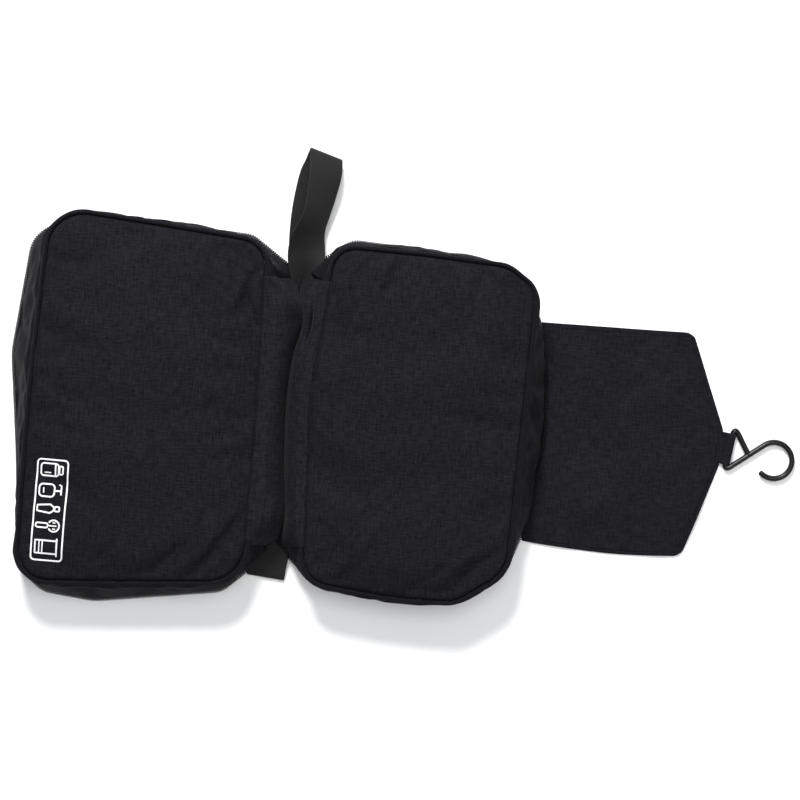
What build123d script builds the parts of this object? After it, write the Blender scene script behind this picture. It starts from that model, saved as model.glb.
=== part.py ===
from build123d import *
import os
from math import asin, atan2, cos, hypot, radians, sin, tan

# Hanging toiletry bag, opened out flat with its outside up. X runs from the front half, across the
# spine, to the hook; Y runs towards the carry handle; Z is up. Millimetres.
# Plan coordinates are measured from the middle of the spine's fold until the two shifts below.

# The two halves
half_length = 125.0          # half of the bag's length along the spine
half_width = 181.0           # from the fold to the outer rim
gusset_height = 37.0         # side wall, from the zip's edge to the face seam
cloth = 1.2                  # shell cloth with its lining and binding
corner_radius = 34.0         # outer corners at the rim
face_radius = 24.0           # outer corners at the face seam
fold_gap = 0.5               # from the fold to each spine wall's foot
notch_x = 33.0               # corner cut away beside the spine, at the rim
notch_y = 30.0
face_notch = 10.0            # the same cut at the face seam
notch_radius = 8.0
lower_face_in = 20.0         # face seams beside the spine
upper_face_in = 17.0
lower_face_out = half_width - 9.0      # face seams at the outer side
upper_face_out = half_width - 24.0
lower_face_half = half_length - 7.0    # half the faces' lengths
upper_face_half = half_length - 12.0
face_crown = 1.6             # cloth of the faces, with its backing
foam = 3.0
lining = 0.8
spine_half = half_length - 35.0        # the spine panel ends in a cross seam here
seam_clearance = 0.3

# Main zip
coil_height = 1.5
coil_width = 2.4
tape_height = 5.0
coil_start = half_length - 28.0        # the coils begin here, and the parked slider beyond
slider_start = half_length - 25.0
slider_width = 8.0
slider_length = 11.0
slider_height = 4.6
puller_width = 6.0
puller_length = 24.0
puller_thickness = 1.4

# Hook flap, its loop and the hook
flap_cloth = 0.7             # outer and lining are this thick each
flap_root = half_width - 3.5           # it comes out under the rim's edge
flap_corner = flap_root + 97.5
flap_tip = flap_root + 118.5
flap_half = 77.0
flap_corner_radius = 3.0
tip_half = 13.0
wire_radius = 2.0
webbing = 0.8
bar_x = flap_tip + 7.4
bar_clearance = 0.1
hook_turn = 8.0              # the hook lies a little askew in its loop, in degrees
loop_width = 17.7
loop_end_gap = 0.04          # between the loop's ends and the eye's slanting sides
tongue_width = 22.0
tongue_length = 12.0
eye_depth = 12.6             # from the bar to the weld that closes the eye
shank_angle = 46.1           # of the wire from the weld to the ring, against the hook's centre line
shank_length = 10.05
ring_radius = 12.4
ring_sweep = 261.0
eye_bend = 0.2               # inside radius of the eye's corners
shank_radius = 12.0

# Carry handle and end tab
strap_width = 25.0
strap = 1.6
handle_end = half_length + 56.0
handle_z = 12.0
handle_bow = 6.5             # half the loop's height at its far end
root_width = 6.0             # the strap is folded along its middle where it enters the seam
root_start = spine_half + 1.0
root_end = root_start + 4.0
root_taper = root_start + 21.0         # from here on the strap has its full width
tab_length = 22.0
tab_bow = 2.6

# Compartment mouths: frame, cover, zip, slider, pull tab
frame_depth = 12.0           # from the rim to the frame
frame_clearance = 1.0
window_in = 44.0
window_out = half_width - 21.0
window_half = half_length - 33.0
cover_overlap = 4.0
cover_cloth = 1.0
pocket_coil = 1.2
pocket_zip_in = 31.0
pocket_zip_out = 37.0
pocket_slider_length = 12.0
pocket_slider_height = 2.4
pocket_slider_end = window_half - 8.0  # parked this far from the middle
pocket_puller_width = 5.0
pocket_puller_length = 22.0
running_gap = 0.2

# Printed strip
print_x = 10.0 - lower_face_out        # its outer edge
print_y = 5.0 - lower_face_half
print_width = 21.0
print_length = 69.0
print_thickness = 0.15
print_radius = 3.0

# Levels that follow from the sizes above
flap_thickness = 2 * flap_cloth
lower_rim = 0.0
upper_rim = flap_thickness + seam_clearance
shut_gap = flap_thickness + 2 * seam_clearance    # the flap fits between the shut rims
fold_z = (lower_rim + upper_rim - shut_gap) / 2
flap_axis_x = flap_root - 1.0
flap_axis_z = upper_rim + seam_clearance
bar_z = webbing + bar_clearance + wire_radius

# The eye's slanting sides just clear the ends of the loop that goes round its bar
loop_radius = wire_radius + bar_clearance + webbing
loop_end = loop_width / 2 + loop_end_gap
side_angle = atan2(loop_end, eye_depth - loop_radius) + asin(wire_radius / hypot(loop_end, eye_depth - loop_radius))
bar_half = eye_depth * tan(side_angle)    # from the bar's middle to the eye's sharp corners
eye_radius = wire_radius + eye_bend

# The row's origin is under the middle of the whole box
turn_cos = cos(radians(hook_turn))
turn_sin = sin(radians(hook_turn))
shank_cos = cos(radians(shank_angle))
shank_sin = sin(radians(shank_angle))
ring_u = eye_depth + shank_length * shank_cos + ring_radius * shank_sin
ring_v = shank_length * shank_sin - ring_radius * shank_cos
hook_reach = bar_x + ring_u * turn_cos + ring_v * turn_sin + ring_radius + wire_radius
spine_x = (half_width - hook_reach) / 2
middle_y = (half_length - handle_end) / 2

os.makedirs("parts", exist_ok=True)


def level(height):
    """A level plane whose own origin is over the middle of the fold."""
    return Plane(origin=(spine_x, middle_y, height))


def finish(builder, name):
    """Label one piece and write it."""
    builder.part.label = name
    export_step(builder.part, f"parts/{name}.step")


def between(low, high, share):
    return low + (high - low) * share


def outline(side, share, inset):
    """One half's outline at a share of the gusset's height, drawn in from the cloth's outer face."""
    face_in = lower_face_in if side < 0 else upper_face_in
    face_out = lower_face_out if side < 0 else upper_face_out
    face_half = lower_face_half if side < 0 else upper_face_half
    inner = between(fold_gap, face_in, share) + inset
    outer = between(half_width, face_out, share) - inset
    long = between(half_length, face_half, share) - inset
    cut_x = between(notch_x, face_notch, share)
    cut_y = between(notch_y, face_notch, share)
    points = [
        (side * inner, long - cut_y),
        (side * (inner + cut_x), long),
        (side * outer, long),
        (side * outer, -long),
        (side * (inner + cut_x), -long),
        (side * inner, cut_y - long),
    ]
    with BuildSketch(mode=Mode.PRIVATE) as shape:
        with BuildLine():
            Polyline(*points, close=True)
        make_face()
        far = shape.vertices().sort_by(lambda corner: -abs(corner.X))[0:2]
        fillet(far, between(corner_radius, face_radius, share) - inset)
        near = shape.vertices().sort_by(lambda corner: abs(corner.X))[0:4]
        fillet(near, notch_radius)
    return shape.sketch


def wall(side, rim):
    """Both faces of one half's side wall, lofted from the rim to the face seam."""
    for inset, mode in ((0.0, Mode.ADD), (cloth, Mode.SUBTRACT)):
        with BuildSketch(level(rim)) as low:
            add(outline(side, 0.0, inset))
        with BuildSketch(level(rim + gusset_height)) as high:
            add(outline(side, 1.0, inset))
        loft([low.sketch, high.sketch], mode=mode)


def slab(side, x_low, x_high, y_half, bottom, top, mode):
    """A box across one half, used to cut the wall into its pieces."""
    with BuildSketch(level(bottom)) as base:
        with Locations((side * (x_low + x_high) / 2, 0)):
            Rectangle(x_high - x_low, 2 * y_half)
    extrude(base.sketch, amount=top - bottom, mode=mode)


def plate(side, share, inset, bottom, thickness):
    """A flat sheet that fills one half's outline."""
    with BuildSketch(level(bottom)) as base:
        add(outline(side, share, inset))
    extrude(base.sketch, amount=thickness)


def make_half(side, rim, prefix, cover_name):
    """Every piece that is the same on both halves."""
    top = rim + gusset_height
    spine_reach = max(lower_face_in, upper_face_in) + notch_radius
    frame_z = rim + frame_depth
    frame_share = (frame_depth + cloth) / gusset_height

    # Side wall: the spine cloth, the zip tape below and the gusset above
    with BuildPart() as spine_panel:
        wall(side, rim)
        slab(side, 0, spine_reach, spine_half, rim, top, Mode.INTERSECT)
    finish(spine_panel, f"spine_panel_{prefix}")

    with BuildPart() as tape:
        wall(side, rim)
        slab(side, 0, half_width, half_length, rim + coil_height, rim + coil_height + tape_height,
             Mode.INTERSECT)
        slab(side, 0, spine_reach, spine_half, rim, top, Mode.SUBTRACT)
    finish(tape, f"{prefix}_zip_tape")

    with BuildPart() as gusset:
        wall(side, rim)
        slab(side, 0, half_width, half_length, rim + coil_height + tape_height, top, Mode.INTERSECT)
        slab(side, 0, spine_reach, spine_half, rim, top, Mode.SUBTRACT)
    finish(gusset, f"{prefix}_gusset")

    with BuildPart() as coil:
        with BuildSketch(level(rim)):
            add(outline(side, 0.0, 0.0))
            add(outline(side, 0.0, coil_width), mode=Mode.SUBTRACT)
            Rectangle(2 * (fold_gap + notch_x), 2 * coil_start, mode=Mode.SUBTRACT)
        extrude(amount=coil_height)
    finish(coil, f"{prefix}_zip_coil")

    # Face: cloth on top of the wall, foam and lining inside it
    with BuildPart() as face:
        plate(side, 1.0, 0.0, top, face_crown)
        chamfer(face.faces().sort_by(Axis.Z)[-1].edges(), face_crown / 2)
    finish(face, f"{prefix}_face_panel")

    with BuildPart() as padding:
        plate(side, 1.0, cloth + seam_clearance, top - foam, foam)
    finish(padding, f"{prefix}_foam")

    with BuildPart() as sheet:
        plate(side, 1.0, cloth + seam_clearance, top - foam - lining, lining)
    finish(sheet, f"{prefix}_lining")

    # Compartment mouth
    window_middle = side * (window_in + window_out) / 2
    window_width = window_out - window_in
    with BuildPart() as frame:
        with BuildSketch(level(frame_z)):
            add(outline(side, frame_share, cloth + frame_clearance))
            with Locations((window_middle, 0)):
                RectangleRounded(window_width, 2 * window_half, face_radius / 2, mode=Mode.SUBTRACT)
        extrude(amount=cloth)
    finish(frame, f"{prefix}_pocket_frame")

    with BuildPart() as cover:
        with BuildSketch(level(frame_z - seam_clearance - cover_cloth)):
            with Locations((window_middle, 0)):
                RectangleRounded(window_width + 2 * cover_overlap, 2 * (window_half + cover_overlap),
                                 face_radius / 2)
        extrude(amount=cover_cloth)
    finish(cover, cover_name)

    zip_middle = side * (pocket_zip_in + pocket_zip_out) / 2
    zip_width = pocket_zip_out - pocket_zip_in
    with BuildPart() as chain:
        with BuildSketch(level(frame_z - pocket_coil)):
            with Locations((zip_middle, 0)):
                Rectangle(zip_width, 2 * (window_half + cover_overlap))
        extrude(amount=pocket_coil)
    finish(chain, f"{prefix}_pocket_zip")

    slider_bottom = frame_z - pocket_coil - running_gap - pocket_slider_height
    with BuildPart() as slider:
        with BuildSketch(level(slider_bottom)):
            with Locations((zip_middle, -pocket_slider_end)):
                RectangleRounded(zip_width, pocket_slider_length, zip_width / 4)
        extrude(amount=pocket_slider_height)
        chamfer(slider.faces().sort_by(Axis.Z)[0].edges(), pocket_slider_height / 5)
    finish(slider, f"{prefix}_pocket_slider")

    puller_top = slider_bottom - running_gap
    puller_middle = -pocket_slider_end + pocket_puller_length / 2
    with BuildPart() as puller:
        with BuildSketch(level(puller_top - puller_thickness)):
            with Locations((zip_middle, puller_middle)):
                RectangleRounded(pocket_puller_width, pocket_puller_length, pocket_puller_width / 3)
            with Locations((zip_middle, puller_middle + pocket_puller_length / 3)):
                Circle(pocket_puller_width / 5, mode=Mode.SUBTRACT)
        extrude(amount=puller_thickness)
    finish(puller, f"{prefix}_pocket_puller")


make_half(-1, lower_rim, "lower", "lower_mesh_cover")
make_half(1, upper_rim, "upper", "upper_clear_cover")

# Printed strip, on the front face near its outer corner
with BuildPart() as icon_print:
    with BuildSketch(level(lower_rim + gusset_height + face_crown)):
        with Locations((print_x + print_width / 2, print_y + print_length / 2)):
            RectangleRounded(print_width, print_length, print_radius)
    extrude(amount=print_thickness)
finish(icon_print, "icon_print")


# Hook flap: two sheets sewn together, passing out under the back half's rim
def flap_sheet(bottom):
    with BuildSketch(level(bottom)) as sheet:
        with BuildLine():
            Polyline(
                (flap_root, flap_half),
                (flap_corner, flap_half),
                (flap_tip, tip_half),
                (flap_tip, -tip_half),
                (flap_corner, -flap_half),
                (flap_root, -flap_half),
                close=True,
            )
        make_face()
        fillet(sheet.vertices().sort_by(Axis.X)[2:4], flap_corner_radius)
    extrude(sheet.sketch, amount=flap_cloth)


with BuildPart() as hook_flap_lining:
    flap_sheet(0.0)
finish(hook_flap_lining, "hook_flap_lining")

with BuildPart() as hook_flap:
    flap_sheet(flap_cloth)
finish(hook_flap, "hook_flap")

# The hook's own axes: u points away from the flap, v runs along the eye's straight bar
u_dir = Vector(turn_cos, -turn_sin, 0)
v_dir = Vector(turn_sin, turn_cos, 0)
bar_centre = Vector(spine_x + bar_x, middle_y, bar_z)
hook_plane = Plane(origin=bar_centre, x_dir=u_dir, z_dir=(0, 0, 1))
loop_plane = Plane(origin=bar_centre, x_dir=u_dir, z_dir=-v_dir)

with BuildPart() as hook_loop:
    with BuildSketch(level(flap_thickness)):
        with Locations((flap_tip - tongue_length / 2, 0)):
            Rectangle(tongue_length, tongue_width)
    extrude(amount=webbing)
    with BuildSketch(loop_plane):
        Circle(loop_radius)
        with Locations(((flap_tip - bar_x) / 2, flap_thickness + webbing / 2 - bar_z)):
            Rectangle(bar_x - flap_tip + webbing, webbing)
    extrude(amount=loop_width / 2, both=True)
    with BuildSketch(loop_plane):
        Circle(wire_radius + bar_clearance)
    extrude(amount=strap_width, both=True, mode=Mode.SUBTRACT)
finish(hook_loop, "hook_loop")

# Hook: one bent wire, with the eye's short side welded to the long one
weld = (eye_depth, 0)
shank_end = (eye_depth + shank_length * shank_cos, shank_length * shank_sin)
with BuildPart() as hook:
    with BuildLine(hook_plane):
        FilletPolyline((0, 0), (0, bar_half), weld, radius=eye_radius)
    with BuildSketch(Plane(origin=bar_centre, z_dir=v_dir)):
        Circle(wire_radius)
    sweep()
    with BuildLine(hook_plane):
        FilletPolyline((0, 0), (0, -bar_half), weld, shank_end, radius=[eye_radius, shank_radius])
        CenterArc((ring_u, ring_v), ring_radius, 90 + shank_angle, -ring_sweep)
    with BuildSketch(Plane(origin=bar_centre, z_dir=-v_dir)):
        Circle(wire_radius)
    sweep()
finish(hook, "hook")

# A plane across X through the fold: its own x runs along Y and its own y runs up
upright = Plane(origin=(spine_x, middle_y, 0), x_dir=(0, 1, 0), z_dir=(1, 0, 0))

# Carry handle: a loop of strap in the fold's end seam, folded along its middle at the root
with BuildPart() as carry_handle:
    with BuildSketch(upright):
        with BuildLine():
            CenterArc((root_taper, handle_z), strap + seam_clearance, 0, 360)
            CenterArc((handle_end - handle_bow, handle_z), handle_bow, 0, 360)
        make_hull()
        with Locations(((root_start + root_taper) / 2, handle_z)):
            Rectangle(root_taper - root_start, 2 * (strap + seam_clearance))
        with BuildLine(mode=Mode.PRIVATE) as grip:
            CenterArc((root_taper + handle_bow, handle_z), seam_clearance, 0, 360)
            CenterArc((handle_end - handle_bow, handle_z), handle_bow - strap, 0, 360)
        make_hull(grip.edges(), mode=Mode.SUBTRACT)
    extrude(amount=strap_width / 2, both=True)
    with BuildSketch(level(0)):
        with BuildLine():
            Polyline(
                (-root_width / 2, root_start),
                (-root_width / 2, root_end),
                (-strap_width / 2, root_taper),
                (-strap_width / 2, handle_end),
                (strap_width / 2, handle_end),
                (strap_width / 2, root_taper),
                (root_width / 2, root_end),
                (root_width / 2, root_start),
                close=True,
            )
        make_face()
    extrude(amount=handle_z + strap_width, mode=Mode.INTERSECT)
finish(carry_handle, "carry_handle")

# End tab: a short folded strap in the other end seam
with BuildPart() as end_tab:
    with BuildSketch(upright):
        with Locations((-(root_start + tab_length / 2), handle_z)):
            Rectangle(tab_length, 2 * tab_bow)
    extrude(amount=strap_width / 2, both=True)
    with BuildSketch(level(0)):
        with BuildLine():
            Polyline(
                (-root_width / 2, -root_start),
                (-root_width / 2, -root_end),
                (-strap_width / 2, -root_taper),
                (-strap_width / 2, -root_start - tab_length),
                (strap_width / 2, -root_start - tab_length),
                (strap_width / 2, -root_taper),
                (root_width / 2, -root_end),
                (root_width / 2, -root_start),
                close=True,
            )
        make_face()
    extrude(amount=handle_z + strap_width, mode=Mode.INTERSECT)
    fillet(end_tab.edges().filter_by(Axis.X).sort_by(Axis.Y)[0:2], tab_bow * 0.9)
finish(end_tab, "end_tab")

# Main slider, parked at the open end of the zip under the handle, and its pull tab
slider_middle = slider_start + slider_length / 2
with BuildPart() as main_slider:
    with BuildSketch(level(running_gap)):
        with Locations((0, slider_middle)):
            RectangleRounded(slider_width, slider_length, slider_width / 4)
    extrude(amount=slider_height)
    chamfer(main_slider.faces().sort_by(Axis.Z)[-1].edges(), slider_height / 6)
finish(main_slider, "main_slider")

puller_root = slider_start + slider_length + puller_thickness
with BuildPart() as main_puller:
    with BuildSketch(level(running_gap + slider_height / 2)):
        with Locations((0, puller_root + running_gap + puller_length / 2)):
            RectangleRounded(puller_width, puller_length, puller_width / 3)
        with Locations((0, puller_root + puller_length * 0.8)):
            Circle(puller_width / 5, mode=Mode.SUBTRACT)
    extrude(amount=puller_thickness)
finish(main_puller, "main_puller")

# Where the main joints turn, in the row's own frame
print(f"spine fold axis x {spine_x:.2f} z {fold_z:.2f}")
print(f"flap fold axis x {spine_x + flap_axis_x:.2f} z {flap_axis_z:.2f}")
print(f"hook bar x {bar_centre.X:.2f} y {bar_centre.Y:.2f} z {bar_z:.2f}")
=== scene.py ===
import math
import bpy
import numpy as np
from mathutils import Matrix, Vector
from mathutils.bvhtree import BVHTree
from mathutils.noise import noise as field_noise


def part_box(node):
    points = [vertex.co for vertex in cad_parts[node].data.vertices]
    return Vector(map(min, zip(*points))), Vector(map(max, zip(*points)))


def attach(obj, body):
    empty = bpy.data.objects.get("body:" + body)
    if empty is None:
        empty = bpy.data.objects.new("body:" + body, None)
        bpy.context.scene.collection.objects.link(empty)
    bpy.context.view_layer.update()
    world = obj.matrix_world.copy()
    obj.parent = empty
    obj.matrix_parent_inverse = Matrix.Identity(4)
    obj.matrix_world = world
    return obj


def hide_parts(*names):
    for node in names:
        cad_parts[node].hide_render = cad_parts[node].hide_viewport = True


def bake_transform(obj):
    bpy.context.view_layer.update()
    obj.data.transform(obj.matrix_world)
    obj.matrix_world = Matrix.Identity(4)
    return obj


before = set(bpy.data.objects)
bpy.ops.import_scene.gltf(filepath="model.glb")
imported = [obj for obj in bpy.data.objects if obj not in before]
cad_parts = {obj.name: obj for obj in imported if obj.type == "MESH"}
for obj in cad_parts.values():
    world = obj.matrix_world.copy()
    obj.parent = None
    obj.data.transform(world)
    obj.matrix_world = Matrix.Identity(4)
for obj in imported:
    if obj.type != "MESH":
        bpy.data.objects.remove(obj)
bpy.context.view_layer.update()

# ---------------------------------------------------------------------------------------------------
# The table, the light and the view
# The opened bag lies on a pale table under a big soft light, seen from straight above by a long lens.
# Plan places below are counted from the middle of the spine's fold, as a bag maker would.
spine_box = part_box("spine_panel_lower")
fold_x = spine_box[1][0] + 0.0005
fold_y = (spine_box[0][1] + spine_box[1][1]) / 2
mm = 0.001


def place(x, y, z):
    """A point in the frame from millimetres counted from the middle of the fold."""
    return (fold_x + x * mm, fold_y + y * mm, z * mm)


view_turn = math.radians(4.8)
view_height = 1.8
view_width = 0.5455
camera_data = bpy.data.cameras.new("view")
camera_data.sensor_width = 36.0
camera_data.lens = 36.0 * view_height / view_width


def new_object(name, data):
    made = bpy.data.objects.new(name, data)
    bpy.context.collection.objects.link(made)
    return made


camera = new_object("view", camera_data)
camera.location = place(75.9, 14.8, 1000 * view_height + 14)
camera.rotation_euler = (0, 0, view_turn)
bpy.context.scene.camera = camera


def soft_light(name, at, size, power, aim=(0.0, 0.0, 0.02)):
    lamp = bpy.data.lights.new(name, "AREA")
    lamp.shape = "DISK"
    lamp.size = size
    lamp.energy = power
    lit = new_object(name, lamp)
    lit.location = at
    lit.rotation_euler = (Vector(aim) - Vector(at)).to_track_quat("-Z", "Y").to_euler()


soft_light("window_light", (-0.4, 1.3, 1.5), 0.55, 56)
soft_light("room_fill", (0.9, -1.2, 1.5), 1.6, 8)
soft_light("top_light", (0.2, 0.3, 2.2), 1.2, 18)
world = bpy.data.worlds.new("room")
world.use_nodes = True
sky = world.node_tree.nodes["Background"].inputs
sky["Color"].default_value = (0.95, 0.97, 1.0, 1)
sky["Strength"].default_value = 0.38
bpy.context.scene.world = world
bpy.context.scene.view_settings.view_transform = "Standard"


class Finish:
    """A material with its shader, and short ways to add nodes and join them."""

    def __init__(self, name, **fixed):
        self.material = bpy.data.materials.new(name)
        self.material.use_nodes = True
        self.tree = self.material.node_tree
        self.shader = self.tree.nodes["Principled BSDF"]
        for key, value in fixed.items():
            self.shader.inputs[key.replace("_", " ")].default_value = value

    def node(self, kind, **settings):
        made = self.tree.nodes.new(kind)
        for key, value in settings.items():
            if hasattr(made, key):
                setattr(made, key, value)
            else:
                made.inputs[key.replace("_", " ")].default_value = value
        return made

    def link(self, output, node, socket):
        self.tree.links.new(output, node.inputs[socket])

    def texture(self, kind, at=None, **settings):
        """A texture over the object's own coordinates, or over others."""
        made = self.node(f"ShaderNodeTex{kind}", **settings)
        self.link(at or self.node("ShaderNodeTexCoord").outputs["Object"], made, "Vector")
        return made.outputs["Distance" if kind == "Voronoi" else "Fac"]

    def waves(self, at, axis, **settings):
        return self.texture("Wave", at, wave_type="BANDS", bands_direction=axis, wave_profile="SIN",
                            **settings)

    def combined(self, operation, one, other):
        made = self.node("ShaderNodeMath", operation=operation)
        self.link(one, made, 0)
        self.link(other, made, 1)
        return made.outputs[0]

    def ranged(self, value, low, high, start=0.0, end=1.0):
        made = self.node("ShaderNodeMapRange", From_Min=start, From_Max=end, To_Min=low, To_Max=high)
        self.link(value, made, "Value")
        return made.outputs["Result"]

    def between(self, value, dark, light):
        made = self.node("ShaderNodeMix", data_type="RGBA", A=(*dark, 1), B=(*light, 1))
        self.link(value, made, "Factor")
        return made.outputs["Result"]

    def colour(self, output):
        self.link(output, self.shader, "Base Color")

    def rough(self, output):
        self.link(output, self.shader, "Roughness")

    def bump(self, height, strength, distance):
        made = self.node("ShaderNodeBump", Strength=strength, Distance=distance)
        self.link(height, made, "Height")
        self.link(made.outputs["Normal"], self.shader, "Normal")


table_top = Finish("table_top", Base_Color=(0.93, 0.93, 0.93, 1), Roughness=0.75)
table_top.bump(table_top.texture("Noise", Scale=60.0, Detail=4.0), 0.04, 0.001)
bpy.ops.mesh.primitive_plane_add(size=8, location=(0, 0, -0.0004))
table = bpy.context.object
table.name = "table"
table.data.materials.append(table_top.material)

# ---------------------------------------------------------------------------------------------------
# Shell cloth
# A black heathered polyester: two tones of yarn in a fine plain weave, with long thin slubs both ways.
# Every cloth piece carries a map named weave, in metres along its two yarn directions.


def woven(name, dark, light, yarn=0.0009, slub=0.3, weave_depth=0.0003, sheen=0.02, rough=0.85):
    cloth = Finish(name, Roughness=rough, Specular_IOR_Level=0.07, Sheen_Weight=sheen, Sheen_Roughness=0.4)
    lay = cloth.node("ShaderNodeUVMap", uv_map="weave").outputs["UV"]

    def scaled(x, y):
        made = cloth.node("ShaderNodeMapping", Scale=(1 / x, 1 / y, 1))
        cloth.link(lay, made, "Vector")
        return made.outputs["Vector"]

    def streaks(x, y):
        return cloth.texture("Noise", scaled(x, y), Scale=1.0, Detail=3.0, Roughness=0.65)

    def yarns(axis):
        return cloth.waves(scaled(yarn, yarn), axis, Scale=0.32, Distortion=0.6)

    slubs = cloth.combined("ADD", streaks(0.0011, 0.009), streaks(0.007, 0.0011))
    shade = cloth.between(cloth.ranged(slubs, 0.0, 1.0, 1.0 - slub, 1.0 + slub), dark, light)
    handled = cloth.ranged(cloth.texture("Noise", lay, Scale=9.0, Detail=2.0), 0.86, 1.16)
    toned = cloth.node("ShaderNodeVectorMath", operation="SCALE")
    cloth.link(shade, toned, 0)
    cloth.link(handled, toned, "Scale")
    cloth.colour(toned.outputs["Vector"])
    crossings = cloth.combined("MULTIPLY", yarns("X"), yarns("Y"))
    cloth.bump(cloth.combined("ADD", crossings, slubs), 0.5, weave_depth)
    return cloth.material


shell_cloth = woven("shell_cloth", (0.0022, 0.0021, 0.0027), (0.0122, 0.0118, 0.0150))
# The spine's cloth is the shell's cloth painted lighter: painted light against the shade of the groove
# between the halves.
lit_spine_cloth = woven("lit_spine_cloth", (0.0025, 0.0024, 0.0031), (0.0145, 0.0140, 0.0178))


def grid_quads(rows, columns, ring=False, tube=False):
    """Quads of a grid of points; a ring joins its last column to the first, a tube its last row too."""
    return [(r * columns + k, (r + 1) % rows * columns + k,
             (r + 1) % rows * columns + (k + 1) % columns, r * columns + (k + 1) % columns)
            for r in range(rows if tube else rows - 1) for k in range(columns if ring else columns - 1)]


def ring_quads(upper, lower):
    """Quads between two closed rows of as many points."""
    return [tuple(q) for q in np.column_stack([upper, lower, np.roll(lower, -1), np.roll(upper, -1)])]


def cloth_mesh(name, points, quads, lay, material, body, thick=0.0011, levels=1):
    """A sheet of cloth: points in metres, quads, and where each point lies on the weave."""
    data = bpy.data.meshes.new(name)
    data.from_pydata([tuple(p) for p in points], [], [tuple(int(k) for k in q) for q in quads])
    weave = data.uv_layers.new(name="weave")
    corner_points = np.empty(len(data.loops), int)
    data.loops.foreach_get("vertex_index", corner_points)
    weave.data.foreach_set("uv", np.asarray(lay, float)[corner_points].astype(np.float32).ravel())
    data.materials.append(material)
    data.shade_smooth()
    sheet = new_object(f"{name}_piece", data)
    if thick:
        wall = sheet.modifiers.new("thickness", "SOLIDIFY")
        wall.thickness = thick
        wall.offset = -1
    if levels:
        smooth = sheet.modifiers.new("smooth", "SUBSURF")
        smooth.levels = smooth.render_levels = levels
    if body:
        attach(sheet, body)
    return sheet


# ---------------------------------------------------------------------------------------------------
# The two padded halves
# Each half is one padded face and a side wall that runs down to the zip. The cloth is cut a little
# large and eased into the seams, so it is draped here: seam and rim are held and the rest is let go.


def rounded(corners, step=0.8):
    """Even points round a polygon, in mm, from (x, y, radius) corners, anticlockwise."""
    corners = np.array(corners, float)
    path = []
    for k in range(len(corners)):
        p, radius = corners[k, :2], corners[k, 2]
        before = corners[k - 1, :2] - p
        after = corners[(k + 1) % len(corners), :2] - p
        before /= np.linalg.norm(before)
        after /= np.linalg.norm(after)
        half = math.acos(np.clip(before @ after, -1, 1)) / 2
        middle = p + (before + after) / np.linalg.norm(before + after) * radius / math.sin(half)
        reach = radius / math.tan(half)
        first = p + before * reach - middle
        last = p + after * reach - middle
        turn = math.atan2(first[0] * last[1] - first[1] * last[0], first @ last)
        for share in np.linspace(0, 1, 9):
            c, s = math.cos(turn * share), math.sin(turn * share)
            path.append(middle + np.array([c * first[0] - s * first[1], s * first[0] + c * first[1]]))
    path = np.array(path + [path[0]])
    length = np.concatenate([[0], np.cumsum(np.linalg.norm(np.diff(path, axis=0), axis=1))])
    even = np.linspace(0, length[-1], int(length[-1] / step))[:-1]
    return np.stack([np.interp(even, length, path[:, i]) for i in range(2)], axis=1)


class Outline:
    """A rounded outline that answers in every direction from its middle."""

    def __init__(self, corners):
        path = rounded(corners)
        self.middle = (path.min(0) + path.max(0)) / 2
        self.half = (path.max(0) - path.min(0)) / 2
        local = (path - self.middle) / self.half
        angle = np.arctan2(local[:, 1], local[:, 0])
        order = np.argsort(angle)
        self.angle = angle[order]
        self.radius = np.linalg.norm(local, axis=1)[order]

    def reach(self, angle):
        return np.interp(angle, self.angle, self.radius, period=2 * math.pi)

    def at(self, angle, share=1.0):
        """Points in mm in these directions, a share of the way out."""
        r = self.reach(angle) * share
        return self.middle + np.stack([np.cos(angle) * r, np.sin(angle) * r], axis=-1) * self.half

    def fill(self, u, v):
        """A square of u and v from -1 to 1 laid over the whole outline."""
        edge = np.maximum(np.abs(u), np.abs(v))
        angle = np.arctan2(v, u)
        square = 1 / np.maximum(np.maximum(np.abs(np.cos(angle)), np.abs(np.sin(angle))), 1e-9)
        bent = square + (self.reach(angle) - square) * edge ** 3
        r = bent * edge
        return self.middle + np.stack([np.cos(angle) * r, np.sin(angle) * r], axis=-1) * self.half


# Corners are x, y and radius in mm, anticlockwise. The rims bow out where the zip's stiff edge springs.
lower_face_line = Outline([
    (-20, -116, 26), (-18.8, -10, 300), (-22.0, 112.4, 19), (-95, 118.4, 500),
    (-168.5, 123.8, 24), (-172.6, 0, 500), (-172, -127.5, 20), (-110, -123.2, 400),
])
lower_rim_line = Outline([
    (-1.2, -95, 6), (-1.2, 97, 6), (-34, 119.5, 12), (-100, 122.6, 300), (-156, 126.0, 18),
    (-185, 105.5, 22), (-192.5, 26, 60), (-184, -40, 60), (-175.5, -122, 20), (-158, -136.5, 20),
    (-122, -140, 30), (-35, -126.5, 14),
])
upper_face_line = Outline([
    (20.5, -112, 19), (87, -118.4, 300), (124, -117.6, 26), (156.5, -94, 24), (159, 0, 500),
    (161.2, 96, 16), (141, 109.8, 22), (84, 112.8, 300), (25, 113.6, 15), (14.6, 16, 260),
])
upper_rim_line = Outline([
    (1.2, -94, 6), (33, -119.6, 14), (84, -121.4, 60), (124, -119.4, 30), (156, -103, 30), (172, -56, 60),
    (177.5, 0, 60), (175, 44, 60), (162.5, 92, 26), (146, 109.5, 24), (110, 117.6, 60), (34, 121.5, 14),
    (1.2, 96, 6),
])
cell = 3.0              # mm of cloth between points
wall_rows = 14
tape_rows = 2           # the lowest rows of the wall are the zip's tape


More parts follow.
